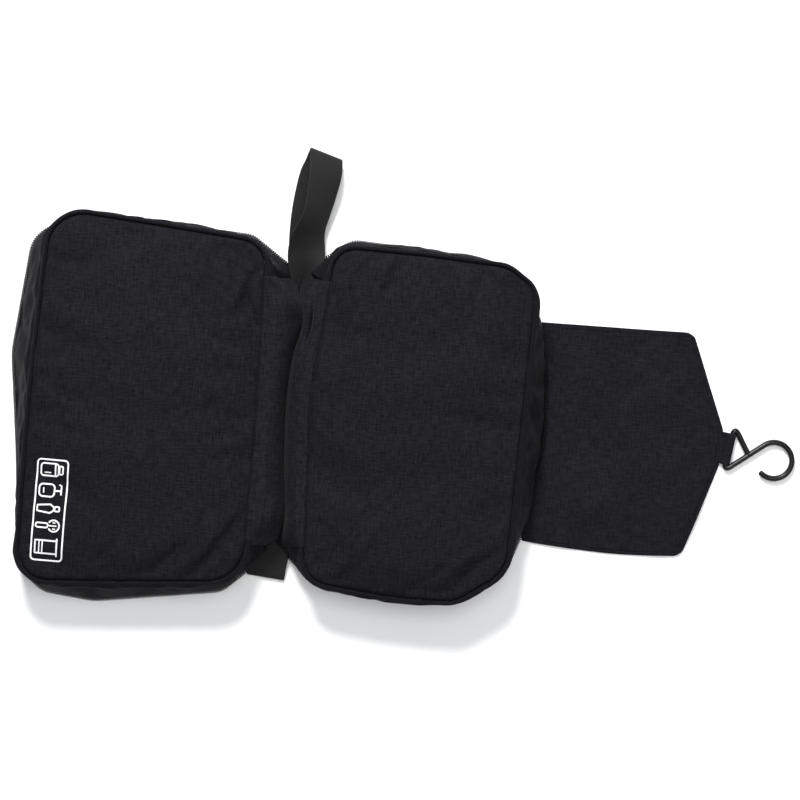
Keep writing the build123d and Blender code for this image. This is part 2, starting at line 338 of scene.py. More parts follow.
def let_go(name, points, quads, held, growth, pressure, bending, frames=22):
    """Drapes a sheet: held gives each point's pin weight, growth is how much the cloth is cut large."""
    data = bpy.data.meshes.new(name)
    data.from_pydata([tuple(p) for p in points], [], [tuple(int(k) for k in q) for q in quads])
    sheet = new_object(name, data)
    pins = sheet.vertex_groups.new(name="held")
    for k, weight in enumerate(held):
        if weight > 0:
            pins.add([k], float(weight), "REPLACE")
    cloth = sheet.modifiers.new("cloth", "CLOTH")
    rules = cloth.settings
    rules.quality = 6
    rules.mass = 0.15
    rules.tension_stiffness = rules.compression_stiffness = 25
    rules.shear_stiffness = 8
    rules.bending_stiffness = bending
    rules.vertex_group_mass = "held"
    rules.pin_stiffness = 1.0
    rules.shrink_min = -growth
    rules.use_pressure = True
    rules.uniform_pressure_force = pressure
    rules.effector_weights.gravity = 0
    cloth.collision_settings.use_collision = False
    cloth.point_cache.frame_start = 1
    cloth.point_cache.frame_end = frames
    scene = bpy.context.scene
    for f in range(1, frames + 1):
        scene.frame_set(f)
    drawn = sheet.evaluated_get(bpy.context.evaluated_depsgraph_get()).data
    moved = np.empty(len(points) * 3)
    drawn.vertices.foreach_get("co", moved)
    scene.frame_set(1)
    bpy.data.objects.remove(sheet)
    return moved.reshape(-1, 3)


def wander(points, scale, seed):
    """Smooth noise at each point, in -1 to 1."""
    return np.array([field_noise(Vector(p) / scale + Vector((seed, seed * 0.7, 0))) for p in points])


def crease(points, start, end, width, height, seed=0.0):
    """How far a soft fold lifts each plan point: a ridge (or a valley) from start to end, all in mm."""
    a, b = np.array(start, float), np.array(end, float)
    along = b - a
    t = np.clip((points - a) @ along / (along @ along), -0.25, 1.25)
    off = points - (a + t[:, None] * along)
    side = off @ np.array([-along[1], along[0]]) / np.linalg.norm(along)
    side = side + 1.5 * np.sin(t * 5.0 + seed)
    fade = np.sin(np.clip((t + 0.25) / 1.5, 0, 1) * math.pi)
    ridge = np.exp(-(side / width) ** 2)
    dip = 0.45 * np.exp(-((side - 1.7 * width) / width) ** 2)
    return 3.0 * height * fade * (ridge - dip)


def drape_half(name, face_line, rim_line, top, rim, crown, bulge, folds, wall_folds, seed):
    """Points of one half: a grid for the face, then rows of the wall down to the rim."""
    nx = int(round(2 * face_line.half[0] / cell / 2) * 2)
    ny = int(round(2 * face_line.half[1] / cell / 2) * 2)
    u, v = np.meshgrid(np.linspace(-1, 1, nx + 1), np.linspace(-1, 1, ny + 1), indexing="ij")
    plan = face_line.fill(u.ravel(), v.ravel())
    dome = (1 - np.abs(u.ravel()) ** 3.0) * (1 - np.abs(v.ravel()) ** 3.0)
    number = np.arange((nx + 1) * (ny + 1)).reshape(nx + 1, ny + 1)
    quads = grid_quads(nx + 1, ny + 1)
    border = np.concatenate([number[:-1, 0], number[-1, :-1], number[:0:-1, -1], number[0, :0:-1]])
    directions = np.arctan2(v.ravel()[border], u.ravel()[border])
    height = top + crown * dome
    for start, end, width, lift in folds:
        height = height + crease(plan, start, end, width, lift) * np.clip(dome * 6, 0, 1)
    height += 0.9 * wander(np.column_stack([plan, height]), 34.0, seed) * np.clip(dome * 5, 0, 1)
    rows = [np.column_stack([plan, height])]
    seam = plan[border]
    foot = rim_line.at(directions)
    outward = foot - seam
    outward /= np.linalg.norm(outward, axis=1)[:, None] + 1e-9
    around = np.cumsum(np.linalg.norm(np.roll(seam, -1, 0) - seam, axis=1))
    free = np.abs(seam[:, 0]) > 30           # away from the fold the wall may belly out
    for row in range(1, wall_rows + 1):
        share = row / wall_rows
        belly = bulge * math.sin(math.pi * share ** 0.8)
        spot = seam + (foot - seam) * share ** 1.15
        puff = belly * np.where(free, 1.0, 0.25)
        puff = puff + 1.4 * wander(np.column_stack([spot, np.full(len(spot), 40 * share)]), 26.0, seed + 3) \
            * math.sin(math.pi * share)
        spot = spot + outward * puff[:, None]
        z = top + (rim - top) * share
        level = np.full(len(spot), z)
        for start, end, width, lift in wall_folds:
            level = level + crease(spot, start, end, width, lift) * math.sin(math.pi * share)
        rows.append(np.column_stack([spot, level]))
    count = len(border)
    first = number.size
    previous = border
    for row in range(wall_rows):
        ring = first + row * count + np.arange(count)
        quads += ring_quads(previous, ring)
        previous = ring
    points = np.concatenate(rows)
    held = np.zeros(len(points))
    held[border] = 1.0
    held[-count * (tape_rows + 1):] = 1.0
    metres = np.array([place(*p) for p in points])
    draped = let_go(name, metres, quads, held, 0.022, 3.0, 0.35)
    shift = draped - metres
    far = np.linalg.norm(shift, axis=1)
    draped = metres + shift * np.minimum(1, 0.006 / np.maximum(far, 1e-9))[:, None]
    return {
        "points": draped, "grid": number, "border": border, "count": count, "first": first,
        "plan": plan * mm, "around": around * mm, "seam": seam,
    }


lower_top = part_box("lower_gusset")[1][2] * 1000 + 0.6
upper_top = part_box("upper_gusset")[1][2] * 1000 + 0.6
lower_rim_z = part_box("lower_zip_coil")[0][2] * 1000
upper_rim_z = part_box("upper_zip_coil")[0][2] * 1000

lower_shell = drape_half(
    "lower_drape", lower_face_line, lower_rim_line, lower_top, lower_rim_z + 0.8, 3.0, 2.2,
    folds=[
        ((-28, 108), (-42, 70), 4.0, 1.6), ((-36, 96), (-24, 40), 4.5, -1.2),
        ((-60, 112), (-66, 84), 5.0, 0.9), ((-168, 60), (-120, 40), 9.0, 0.8),
        ((-60, -108), (-30, -70), 6.0, 1.0), ((-90, -118), (-60, -96), 6.0, -0.8),
        ((-150, -30), (-70, -40), 16.0, 0.8), ((-120, 80), (-60, 20), 15.0, 0.7),
    ],
    wall_folds=[((-192, 40), (-176, 10), 7.0, 1.5), ((-40, 118), (-14, 96), 4.0, 1.2)],
    seed=2.0,
)
upper_shell = drape_half(
    "upper_drape", upper_face_line, upper_rim_line, upper_top, upper_rim_z + 0.8, 3.0, 2.6,
    folds=[
        ((66, 112), (54, 86), 3.6, 1.7), ((92, 110), (102, 84), 3.6, 1.5), ((40, 108), (32, 70), 4.5, 1.0),
        ((118, 104), (112, 82), 4.0, 0.9), ((22, 60), (20, -30), 6.0, 0.8),
        ((40, -104), (70, -70), 6.0, 0.9), ((140, -80), (110, -104), 5.0, 0.9),
        ((60, 20), (130, 34), 17.0, 0.7), ((50, -50), (120, -30), 15.0, -0.7),
    ],
    wall_folds=[((178, 60), (160, 40), 6.0, 1.6), ((180, -10), (158, -20), 7.0, 1.3),
                ((176, -60), (156, -50), 6.0, 1.4)],
    seed=7.0,
)


def ring_of(shell, row):
    """Indices of one row round the wall: row 0 is the seam."""
    if row == 0:
        return shell["border"]
    return shell["first"] + (row - 1) * shell["count"] + np.arange(shell["count"])


def outward_of(shell, row):
    """Level unit vectors that point out of the bag along one row."""
    p = shell["points"][ring_of(shell, row)]
    run = np.roll(p, -1, 0) - np.roll(p, 1, 0)
    out = np.column_stack([run[:, 1], -run[:, 0], np.zeros(len(p))])
    return out / (np.linalg.norm(out, axis=1)[:, None] + 1e-12)


seam_depth = 0.0017     # the seam is pulled in between two rolled edges
seam_turn = 0.0035      # cloth turned in at the seam


def sew_face(shell, name, body):
    """The face: the grid, its edge rolled down into the seam."""
    p = shell["points"]
    grid = shell["grid"]
    points = p[:grid.size].copy()
    border = shell["border"]
    inner = np.zeros(grid.shape, bool)
    inner[1:-1, 1:-1] = True
    inner[2:-2, 2:-2] = False
    points[grid[inner], 2] += 0.0006
    out = outward_of(shell, 0)
    points[border, 2] -= seam_depth * 0.55
    points[border] -= out * 0.0004
    lay = list(map(tuple, shell["plan"]))
    rows = [points]
    for drop, tuck in ((seam_depth, 0.0004), (seam_turn, 0.0007)):
        ring = points[border] - out * tuck
        ring[:, 2] -= drop
        rows.append(ring)
        lay += [tuple(q) for q in shell["plan"][border]]
    quads = grid_quads(*grid.shape)
    previous = border
    for row in range(2):
        ring = grid.size + row * len(border) + np.arange(len(border))
        quads += ring_quads(previous, ring)
        previous = ring
    face = cloth_mesh(name, np.concatenate(rows), quads, lay, shell_cloth, body)
    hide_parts(name)
    return face


lower_face = sew_face(lower_shell, "lower_face_panel", "lower_half")
upper_face = sew_face(upper_shell, "upper_face_panel", "upper_half")

# ---------------------------------------------------------------------------------------------------
# Side walls, zip tape and spine panel
# The wall is a long strip sewn to the face above and to the zip's tape below. Beside the fold it is
# cut off by a cross seam, and the spine panel takes its place: one cloth that bends down to the fold.
spine_end = (spine_box[1][1] - spine_box[0][1]) / 2 / mm


def beside_fold(shell, row, margin=0.0):
    """Which columns of the wall belong to the spine panel."""
    seam = shell["seam"]
    return (np.abs(seam[:, 0]) < 32) & (np.abs(seam[:, 1]) < spine_end + margin)


def strip_from(shell, name, rows, keep, push, drop, material, body, length_row, thick=0.0011,
               levels=1):
    """A strip of the wall: rows of points, each pushed outward and dropped by its own amounts.

    Gives the piece, its flat width and length in metres, and the placed rows."""
    count = shell["count"]
    chosen = [k for k in range(count) if keep[k]]
    if len(chosen) < count:
        gap = next(k for k in range(count) if keep[k] and not keep[k - 1])
        chosen = [(gap + k) % count for k in range(len(chosen))]
    closed = len(chosen) == count
    points, lay = [], []
    for r, row in enumerate(rows):
        ring = shell["points"][ring_of(shell, row)] + outward_of(shell, row) * push[r]
        ring[:, 2] -= drop[r]
        points.append(ring[chosen])
        lay.append(np.column_stack([shell["around"][chosen], np.full(len(chosen), r * 0.003)]))
    quads = grid_quads(len(rows), len(chosen), closed)
    sheet = cloth_mesh(name, np.concatenate(points), quads, np.concatenate(lay), material, body,
                       thick, levels)
    placed = np.array(points)
    run = float(np.linalg.norm(np.diff(placed[length_row], axis=0), axis=1).sum())
    fall = float(np.linalg.norm(np.diff(placed, axis=0), axis=2).sum(0).mean())
    return sheet, (fall, run), placed


# The walls' cloth is the shell's cloth painted darker: painted shade that holds back the extra light the
# sloping walls catch.
shaded_wall_cloth = woven("shaded_wall_cloth", (0.0016, 0.0015, 0.0020), (0.0095, 0.0092, 0.0118))
tape_cloth = woven("tape_cloth", (0.0016, 0.0016, 0.0019), (0.0045, 0.0045, 0.0052), yarn=0.0009, slub=0.6,
                   weave_depth=0.0003, sheen=0.0)
hem_row = wall_rows - tape_rows
rim_lines = {}
for half, shell in (("lower", lower_shell), ("upper", upper_shell)):
    wall_keep = ~beside_fold(shell, 0, -5.0)
    rows = [0] * 7 + list(range(1, hem_row + 1)) + [hem_row]
    push = [-0.0006, -0.0002, 0.0004, 0.0012, 0.0021, 0.0027, 0.0030] + [0.0026, 0.0016, 0.0007] \
        + [0.0] * (hem_row - 3) + [-0.0012]
    drop = [seam_turn + seam_depth, seam_depth, 0.0006, 0.0, 0.0002, 0.0010, 0.0018] + [0.0] * hem_row \
        + [-0.0008]
    gusset, flat, placed = strip_from(shell, f"{half}_gusset", rows, wall_keep, push, drop, shaded_wall_cloth,
                                      f"{half}_half", 8)
    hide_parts(f"{half}_gusset")
    rows = list(range(hem_row - 3, wall_rows + 1))
    push = [-0.003, -0.0026, -0.0022, -0.0016] + [-0.0008] * (len(rows) - 4)
    tape, flat, placed = strip_from(shell, f"{half}_zip_tape", rows, wall_keep, push, [0.0] * len(rows),
                                    tape_cloth, f"{half}_half", -1, 0.0007, 1)
    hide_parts(f"{half}_zip_tape")
    rim_lines[half] = placed[-1]


def spine_columns(shell):
    keep = beside_fold(shell, 0, 1.5)
    columns = [k for k in range(shell["count"]) if keep[k]]
    order = np.argsort(shell["seam"][columns, 1])
    return [columns[k] for k in order]


def across_spine(shell, rows, stations):
    """Rows of points beside the fold, at even stations along it."""
    columns = spine_columns(shell)
    out = []
    for row in rows:
        p = shell["points"][ring_of(shell, row)][columns]
        out.append(np.stack([np.interp(stations, p[:, 1], p[:, i]) for i in range(3)], axis=1))
    return out


end_turn = np.array([1.7, 1.4, 0.8])
stations = fold_y + np.concatenate([-spine_end - end_turn, np.linspace(-spine_end, spine_end, 68),
                                    spine_end + end_turn[::-1]]) * mm
end_fall = np.interp(np.abs(stations - fold_y) / mm - spine_end, [0, 0.8, 1.4, 1.7], [1, 0.93, 0.5, 0])
left = np.array(across_spine(lower_shell, range(0, wall_rows + 1), stations))
right = np.array(across_spine(upper_shell, range(0, wall_rows + 1), stations))
along = (stations - fold_y) / mm
inner = np.clip((spine_end - np.abs(along)) / 16, 0, 1) ** 0.7
crease_x = fold_x + (1.0 + 3.5 * np.exp(-((along + 72) / 26) ** 2) - 2.0 * np.exp(-((along - 8) / 34) ** 2)
                     + 5.0 * np.exp(-((along - 62) / 16) ** 2)) * mm
floor_z = (1.2 + 15.0 * np.exp(-((spine_end - np.abs(along)) / 9) ** 2)) * mm


def plump(wall, full):
    """The cloth beside the fold stands out like a pillow and dives into one tight crease."""
    turn = np.linspace(0, math.pi / 2, wall_rows + 1)[:, None]
    out = wall.copy()
    x = wall[0, :, 0] + (crease_x - wall[0, :, 0]) * np.sin(turn) ** (2 / full)
    z = floor_z + (wall[0, :, 2] - floor_z) * np.cos(turn) ** (2 / full)
    out[:, :, 0] += (x - out[:, :, 0]) * inner
    out[:, :, 2] += (z - out[:, :, 2]) * inner
    return out


left, right = plump(left, 2.9), plump(right, 2.7)
soft_x = 2.2 * np.sin(along / 5.5 + 1.0) * np.exp(-((along - 76) / 15) ** 2) \
    + 2.0 * np.sin(along / 6.0) * np.exp(-((along + 76) / 16) ** 2) + 0.9 * np.sin(along / 21.0 + 0.6)
middle_of_wall = np.exp(-((np.arange(wall_rows + 1) - 5.5) / 3.2) ** 2)[:, None]
left[:, :, 2] += 1.5 * soft_x * middle_of_wall * mm
right[:, :, 2] += 1.1 * soft_x[::-1] * middle_of_wall * mm
number_of_row = np.arange(wall_rows + 1)[:, None]
pleats = 2.4 * np.sin(number_of_row * 1.7) * np.exp(-((along + 78) / 12) ** 2) \
    + 2.2 * np.sin(number_of_row * 1.5 + 1.0) * np.exp(-((along - 79) / 11) ** 2)
left[:, :, 2] += pleats * middle_of_wall * mm
pulled = -10.0 * np.exp(-((number_of_row - 3.6) / 1.9) ** 2) * np.exp(-((along - 62) / 20) ** 2)
right[:, :, 2] += pulled * mm
rolled = ((-0.6, -5.0), (-0.2, -1.7), (0.4, -0.6), (1.2, 0.0), (2.1, -0.2), (2.8, -1.2))
left_edge = np.array([left[0] + np.array([dx, 0, dz]) * mm for dx, dz in rolled])
right_edge = np.array([right[0] + np.array([-dx, 0, dz]) * mm for dx, dz in rolled])
left[1, :, 0] += 2.2 * mm
left[2, :, 0] += 1.0 * mm
right[1, :, 0] -= 2.2 * mm
right[2, :, 0] -= 1.0 * mm
fold_floor = np.stack([crease_x, stations, floor_z - 0.0004], axis=1)
rows = np.concatenate([left_edge, left[1:], fold_floor[None], right[1:][::-1], right_edge[::-1]])
rows[:, :, 2] = 0.0015 + (rows[:, :, 2] - 0.0015) * end_fall
spine_quads = [q[::-1] for q in grid_quads(len(rows), len(stations))]
fall = np.concatenate([[0], np.cumsum(np.linalg.norm(np.diff(rows, axis=0), axis=2).mean(1))])
spine_lay = np.array([(y, down) for down in fall for y in stations])
spine_panel = cloth_mesh("spine_panel", rows.reshape(-1, 3), spine_quads, spine_lay, lit_spine_cloth, None)
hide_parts("spine_panel_lower", "spine_panel_upper")
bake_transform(spine_panel)
end_hems = [rows[:, k] + np.array([0, 0, 0.0002]) for k in (4, -5)]     # where its ends are stitched

# ---------------------------------------------------------------------------------------------------
# Inside the halves
# A thin foam stiffens each face, and a plain black lining covers it and the inside of the wall.
lining_cloth = woven("lining_cloth", (0.006, 0.006, 0.0068), (0.012, 0.012, 0.0135), yarn=0.0006, slub=0.7,
                     weave_depth=0.0001, sheen=0.15, rough=0.6)
foam_grey = Finish("foam_grey", Roughness=0.95)
pores_and_shade = foam_grey.texture("Voronoi", Scale=900.0)
foam_grey.bump(pores_and_shade, 0.6, 0.0004)
# Each pore is painted darker towards its middle: painted shade in the pores.
foam_grey.colour(foam_grey.ranged(pores_and_shade, 0.05, 0.11))
lining_gap = 0.0034         # from the wall's cloth to the lining
corner_from_fold = 0.0205   # the lining's corners stay this far from the fold, out of sight


def inset_grid(shell, drop, scale):
    """The face's grid again, a little smaller and lower, for what lies under the face."""
    grid = shell["grid"]
    points = shell["points"][:grid.size].copy()
    middle = points[:, :2].mean(0)
    points[:, :2] = middle + (points[:, :2] - middle) * scale
    points[:, 2] -= drop
    return points, grid_quads(*grid.shape)


for half, side, shell, line in (("lower", -1, lower_shell, lower_face_line),
                                ("upper", 1, upper_shell, upper_face_line)):
    points, quads = inset_grid(shell, 0.0023, 0.975)
    foam = cloth_mesh(f"{half}_foam", points, quads, shell["plan"], foam_grey.material, f"{half}_half",
                      0.0024, 0)
    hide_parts(f"{half}_foam")
    points, quads = inset_grid(shell, 0.0055, 0.965)
    first = len(points)
    rows, lay = [points], list(map(tuple, shell["plan"]))
    previous = shell["border"]
    for row in range(1, hem_row + 1):
        ring = shell["points"][ring_of(shell, row)] - outward_of(shell, row) * lining_gap
        ring[:, 2] = np.minimum(ring[:, 2], points[:, 2].max() - 0.001)
        from_fold = side * (ring[:, 0] - fold_x)
        at_root = np.abs(ring[:, 1] - fold_y) > 0.075
        ring[:, 0] = fold_x + side * np.where(at_root, np.maximum(from_fold, corner_from_fold), from_fold)
        rows.append(ring)
        lay += [(u, 0.3 + row * 0.003) for u in shell["around"]]
        numbers = first + (row - 1) * shell["count"] + np.arange(shell["count"])
        quads += ring_quads(previous, numbers)
        previous = numbers
    lining = cloth_mesh(f"{half}_lining", np.concatenate(rows), quads, lay, lining_cloth, f"{half}_half",
                        0.0006, 0)
    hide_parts(f"{half}_lining")

# ---------------------------------------------------------------------------------------------------
# Pocket frames and their windows
# Across the mouth of each half lies a flat cloth frame, with a bound window for a see-through cover.
window_near, window_far, window_side = 44.0, 160.0, 92.0
frame_rise = {"lower": lower_rim_z + 12.6, "upper": upper_rim_z + 12.6}
binding_cloth = woven("binding_cloth", (0.004, 0.004, 0.0045), (0.01, 0.01, 0.011), yarn=0.0012, slub=0.6,
                      sheen=0.1)


def wall_ring_at(shell, height, inset):
    """The wall's inner line at one height, in mm from the fold's middle."""
    rings = np.array([shell["points"][ring_of(shell, row)] - outward_of(shell, row) * inset * mm
                      for row in range(wall_rows + 1)])
    out = []
    for k in range(shell["count"]):
        z = rings[:, k, 2][::-1]
        out.append([np.interp(height * mm, z, rings[:, k, i][::-1]) for i in range(2)])
    out = np.array(out)
    return (out - np.array([fold_x, fold_y])) / mm


def window_line(side, grow, radius):
    """A window's rounded outline, grown by some mm; side is -1 for the lower half and 1 for the upper."""
    near, far = sorted((side * (window_near - grow), side * (window_far + grow)))
    reach = window_side + grow
    if side > 0:
        near_turn, far_turn, lower_turn = radius, radius + 15, radius + 38
    else:
        near_turn, far_turn, lower_turn = radius + 15, radius, radius
    return Outline([(near, -reach, near_turn), (near, reach, near_turn), (far, reach, far_turn),
                    (far, -reach, lower_turn)][::-1])


def ring_mesh(inner, outer, steps, height):
    """A flat ring between two closed lines of equally many points, in metres."""
    count = len(inner)
    points, lay = [], []
    for r in range(steps + 1):
        ring = inner + (outer - inner) * r / steps
        sag = 0.5 * wander(np.column_stack([ring, ring[:, 0] * 0]), 30.0, 5.0)
        z = height + sag * math.sin(math.pi * r / steps)
        points += [place(*p) for p in np.column_stack([ring, z])]
        lay += [tuple(p) for p in ring * mm]
    return points, grid_quads(steps + 1, count, True), lay


def bound_ring(name, side, section, height, body):
    """A folded binding round a window, from the (out, up) points of its section, in mm."""
    even = np.linspace(-math.pi, math.pi, 241)[:-1]
    points, lay = [], []
    for out, up in section:
        points += [place(*p, height + up) for p in window_line(side, out, 22 + out).at(even)]
        lay += [(k * 0.0026, (out + up) * mm) for k in range(len(even))]
    quads = grid_quads(len(section), len(even), True, True)
    return cloth_mesh(name, points, quads, lay, binding_cloth, body, 0, 1)


frame_inset = 3.6       # mm from the wall's cloth to the frame's sewn edge
for half, side, shell in (("lower", -1, lower_shell), ("upper", 1, upper_shell)):
    rise = frame_rise[half]
    wall = wall_ring_at(shell, rise, frame_inset)
    window = window_line(side, 0.0, 22)
    angle = np.arctan2(*((wall - window.middle) / window.half).T[::-1])
    order = np.argsort(angle)
    wall = wall[order]
    edge = window.at(angle[order])
    points, quads, lay = ring_mesh(edge, wall, 6, rise)
    frame_cloth = cloth_mesh(f"{half}_pocket_frame", points, quads, lay, lining_cloth, f"{half}_half",
                             0.0009, 1)
    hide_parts(f"{half}_pocket_frame")
    section = [(7.0, -0.7), (6.6, -1.3), (3.0, -1.5), (-0.4, -1.3), (-1.0, 0.0), (-0.4, 1.1), (3.0, 1.3),
               (6.6, 1.1), (7.0, 0.4)]
    bound_ring(f"{half}_window_binding", side, section, rise, f"{half}_half")

# ---------------------------------------------------------------------------------------------------
# Covers of the windows
# The lower half has a knitted net and the upper half a clear film, each bound all round, and each
# hangs like a door from the far edge of its window and is closed by the small zip at its near edge.
net_yarn = Finish("net_yarn", Roughness=0.6)
net_yarn.colour(net_yarn.between(net_yarn.texture("Noise", Scale=1400.0, Detail=2.0),
                                 (0.008, 0.008, 0.009), (0.03, 0.03, 0.033)))

clear_film = Finish("clear_film", Base_Color=(0.93, 0.95, 0.96, 1), Transmission_Weight=0.95, IOR=1.45)
haze = clear_film.texture("Noise", Scale=45.0, Detail=5.0)
clear_film.rough(clear_film.ranged(haze, 0.05, 0.22))
clear_film.bump(haze, 0.2, 0.0006)



def finished_mesh(made):
    """The mesh an object has once its modifiers are done."""
    return bpy.data.meshes.new_from_object(made.evaluated_get(bpy.context.evaluated_depsgraph_get()))


cover_drop = 2.0        # mm that a cover hangs below its frame
for half, side, body in (("lower", -1, "lower_cover"), ("upper", 1, "upper_cover")):
    rise = frame_rise[half] - cover_drop
    edge_line = window_line(side, 3.4, 25)
    section = [(3.4, 0.0), (3.0, 0.75), (-0.5, 0.85), (-4.0, 0.75), (-4.4, 0.0), (-4.0, -0.75),
               (-0.5, -0.85), (3.0, -0.75)]
    edging = bound_ring(f"{half}_cover_edging", side, section, rise, body)
    if half == "lower":
        pitch, yarn_width = 3.2, 0.00055        # of the net, in mm and in m
        near, far = sorted((side * (window_near + 1), side * (window_far - 1)))
        cells_x = int((far - near) / pitch)
        cells_y = int(2 * (window_side - 1) / (pitch * 0.866))
        points, known, faces = [], {}, []

        def knot(x, y):
            key = (round(x, 2), round(y, 2))
            if key not in known:
                known[key] = len(points)
                points.append(place(x, y, rise + 0.5 * field_noise(Vector((x / 26, y / 26, 3)))))
            return known[key]

        for j in range(cells_y):
            for i in range(cells_x):
                cx = near + (i + 0.5 + 0.5 * (j % 2)) * pitch
                cy = -window_side + 1 + (j + 0.5) * pitch * 0.866
                offset = (np.array([cx, cy]) - edge_line.middle) / edge_line.half
                if np.linalg.norm(offset) > edge_line.reach(math.atan2(offset[1], offset[0])) - 0.03:
                    continue
                hexagon = [knot(cx + math.sin(k * math.pi / 3) * pitch / math.sqrt(3),
                                cy + math.cos(k * math.pi / 3) * pitch / math.sqrt(3)) for k in range(6)]
                faces.append(hexagon[::-1])
        data = bpy.data.meshes.new("lower_mesh_cover")
        data.from_pydata(points, [], faces)
        data.materials.append(net_yarn.material)
        cover = new_object("lower_mesh_cover_net", data)
        yarns = cover.modifiers.new("yarns", "WIREFRAME")
        yarns.thickness = yarn_width
        yarns.use_even_offset = False
        made = finished_mesh(cover)
        cover.modifiers.clear()
        cover.data = made
        made.name = "lower_mesh_cover"
        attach(cover, body)
        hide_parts("lower_mesh_cover")
    else:
        u, v = np.meshgrid(np.linspace(-1, 1, 41), np.linspace(-1, 1, 61), indexing="ij")
        plan = window_line(side, 1.0, 22).fill(u.ravel(), v.ravel())
        held_down = np.maximum(np.abs(u.ravel()), np.abs(v.ravel())) ** 4
        wave = 0.7 * wander(np.column_stack([plan, plan[:, 0] * 0]), 38.0, 11.0) * (1 - held_down)
        points = [place(*p) for p in np.column_stack([plan, rise + wave])]
        quads = [q[::-1] for q in grid_quads(41, 61)]
        cover = cloth_mesh("upper_clear_cover", points, quads, plan * mm, clear_film.material, body,
                           0.0004, 0)
        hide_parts("upper_clear_cover")

# ---------------------------------------------------------------------------------------------------
# Rows of small repeated parts: zip coils and stitches
# A short round bar is set along or across a path at an even spacing. The coil of a zip is a row of
# bars across its tape; a seam's stitches are a row of bars along it.
row_tree = bpy.data.node_groups.new("even_row", "GeometryNodeTree")
sockets = {}
for name, kind in (("Path", "NodeSocketGeometry"), ("Spacing", "NodeSocketFloat"),
                   ("Length", "NodeSocketFloat"), ("Radius", "NodeSocketFloat"),
                   ("Turn", "NodeSocketFloat"), ("Finish", "NodeSocketMaterial")):
    sockets[name] = row_tree.interface.new_socket(name, in_out="INPUT", socket_type=kind).identifier
row_tree.interface.new_socket("Row", in_out="OUTPUT", socket_type="NodeSocketGeometry")


def add(kind, **settings):
    made = row_tree.nodes.new(kind)
    for key, value in settings.items():
        setattr(made, key, value)
    return made


asked = add("NodeGroupInput")
given = add("NodeGroupOutput")
path = add("GeometryNodeMeshToCurve")
spaced = add("GeometryNodeResampleCurve")
bar = add("GeometryNodeMeshCylinder", fill_type="TRIANGLE_FAN")
bar.inputs["Vertices"].default_value = 6
tangent = add("GeometryNodeInputTangent")
turned_way = add("ShaderNodeVectorRotate", rotation_type="Z_AXIS")
facing = add("FunctionNodeAlignRotationToVector", axis="Z")
set_out = add("GeometryNodeInstanceOnPoints")
real = add("GeometryNodeRealizeInstances")
finish = add("GeometryNodeSetMaterial")
link = row_tree.links.new
if "Mode" in spaced.inputs:
    spaced.inputs["Mode"].default_value = "Length"
else:
    spaced.mode = "LENGTH"
for giver, output, taker, taken in (
        (asked, "Path", path, "Mesh"), (path, "Curve", spaced, "Curve"), (asked, "Spacing", spaced, "Length"),
        (asked, "Radius", bar, "Radius"), (asked, "Length", bar, "Depth"),
        (tangent, "Tangent", turned_way, "Vector"), (asked, "Turn", turned_way, "Angle"),
        (turned_way, "Vector", facing, "Vector"), (spaced, "Curve", set_out, "Points"),
        (bar, "Mesh", set_out, "Instance"), (facing, "Rotation", set_out, "Rotation"),
        (set_out, "Instances", real, "Geometry"), (real, "Geometry", finish, "Geometry"),
        (asked, "Finish", finish, "Material"), (finish, "Geometry", given, "Row")):
    row_tree.links.new(giver.outputs[output], taker.inputs[taken])


def row_of_bars(name, paths, body, finish_material, spacing, length, radius, turn=0.0):
    """Bars along one or more paths of points in metres, as one plain mesh on one body."""
    data = bpy.data.meshes.new(name)
    points, edges = [], []
    for line in paths:
        first = len(points)
        points += [tuple(p) for p in line]
        edges += [(first + k, first + k + 1) for k in range(len(line) - 1)]
    data.from_pydata(points, edges, [])
    row = new_object(f"{name}_row", data)
    build = row.modifiers.new("row", "NODES")
    build.node_group = row_tree
    for key, value in (("Spacing", spacing), ("Length", length), ("Radius", radius), ("Turn", turn),
                       ("Finish", finish_material)):
        build[sockets[key]] = value
    made = finished_mesh(row)
    row.modifiers.clear()
    row.data = made
    made.shade_smooth()
    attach(row, body)
    return row


coil_black = Finish("coil_black", Roughness=0.5, Specular_IOR_Level=0.15)
coil_black.colour(coil_black.between(coil_black.texture("Noise", Scale=500.0, Detail=3.0),
                                     (0.002, 0.002, 0.0025), (0.007, 0.007, 0.008)))
thread_black = Finish("thread_black", Roughness=0.7, Specular_IOR_Level=0.1)
thread_black.colour(thread_black.between(thread_black.texture("Noise", Scale=2500.0, Detail=1.0),
                                         (0.0016, 0.0016, 0.002), (0.007, 0.007, 0.008)))
stitch_step, stitch_length, stitch_radius = 0.0028, 0.0021, 0.00028

for half in ("lower", "upper"):
    line = rim_lines[half].copy()
    line[:, 2] += 0.0003
    teeth = row_of_bars(f"{half}_zip_coil", [line], f"{half}_half", coil_black.material, 0.0016,
                        0.0026, 0.0006, math.pi / 2)
    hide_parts(f"{half}_zip_coil")
half_rows = len(end_hems[0]) // 2
for half, part in (("lower", slice(3, half_rows - 2)), ("upper", slice(half_rows + 2, -3))):
    row_of_bars(f"{half}_spine_stitches", [line[part] for line in end_hems], f"{half}_half",
                thread_black.material, stitch_step, stitch_length, stitch_radius)

